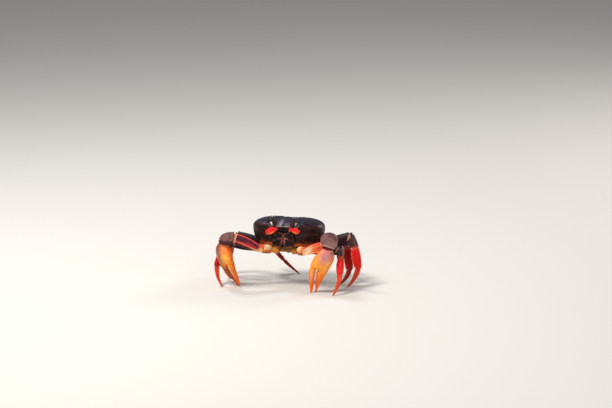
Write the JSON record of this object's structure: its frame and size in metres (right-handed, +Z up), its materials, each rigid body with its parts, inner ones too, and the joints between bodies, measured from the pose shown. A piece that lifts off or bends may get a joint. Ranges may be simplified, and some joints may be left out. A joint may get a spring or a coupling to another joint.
{
  "type": "land crab",
  "caption": "Standing land crab with a swollen oval shell, raised eyestalks, two hanging claws and spiny-toed walking legs, as a still life-size model.",
  "frame": {"origin": "on the floor, under the middle of the crab's bounding box", "axes": "+Z up, -Y the way the crab faces, +X towards its left side"},
  "size_m": [0.1646, 0.0986, 0.081],
  "materials": {
    "shell": "glossy blue-black shell with fine pits",
    "sternum": "olive and orange-brown chitin",
    "abdomen": "olive and orange-brown chitin plates",
    "mouth": "black chitin with pale hair fringes",
    "eye": "polished dark cornea",
    "stalk": "dark smooth stalk",
    "claw_root": "cream chitin with orange edges",
    "claw_arm": "dark purple chitin with crimson and orange edges",
    "claw_wrist": "mauve-brown chitin with a pink rim",
    "claw": "orange chitin with cream patches",
    "leg_dark": "dark purple-grey chitin",
    "leg_red": "bright red chitin",
    "toe": "orange-red chitin with rows of pale spines"
  },
  "bodies": {
    "root": {"abdomen": "abdomen", "antenna_l": "stalk", "antenna_r": "stalk", "carapace": "shell", "claw_l_carpus": "claw_wrist", "claw_l_dactyl": "claw", "claw_l_ischium": "claw_root", "claw_l_merus": "claw_arm", "claw_l_palm": "claw", "claw_r_carpus": "claw_wrist", "claw_r_dactyl": "claw", "claw_r_ischium": "claw_root", "claw_r_merus": "claw_arm", "claw_r_palm": "claw", "eye_l": "eye", "eye_r": "eye", "eyestalk_l": "stalk", "eyestalk_r": "stalk", "leg_l2_carpus": "leg_dark", "leg_l2_dactyl": "toe", "leg_l2_merus": "leg_dark", "leg_l2_propodus": "leg_red", "leg_l3_carpus": "leg_dark", "leg_l3_dactyl": "toe", "leg_l3_merus": "leg_dark", "leg_l3_propodus": "leg_red", "leg_l4_carpus": "leg_dark", "leg_l4_dactyl": "toe", "leg_l4_merus": "leg_dark", "leg_l4_propodus": "leg_red", "leg_l5_carpus": "leg_dark", "leg_l5_dactyl": "toe", "leg_l5_merus": "leg_dark", "leg_l5_propodus": "leg_red", "leg_r2_carpus": "leg_dark", "leg_r2_dactyl": "toe", "leg_r2_merus": "leg_dark", "leg_r2_propodus": "leg_red", "leg_r3_carpus": "leg_dark", "leg_r3_dactyl": "toe", "leg_r3_merus": "leg_dark", "leg_r3_propodus": "leg_red", "leg_r4_carpus": "leg_dark", "leg_r4_dactyl": "toe", "leg_r4_merus": "leg_dark", "leg_r4_propodus": "leg_red", "leg_r5_carpus": "leg_dark", "leg_r5_dactyl": "toe", "leg_r5_merus": "leg_dark", "leg_r5_propodus": "leg_red", "maxilliped_l": "mouth", "maxilliped_r": "mouth", "sternum": "sternum"}
  },
  "joints": []
}
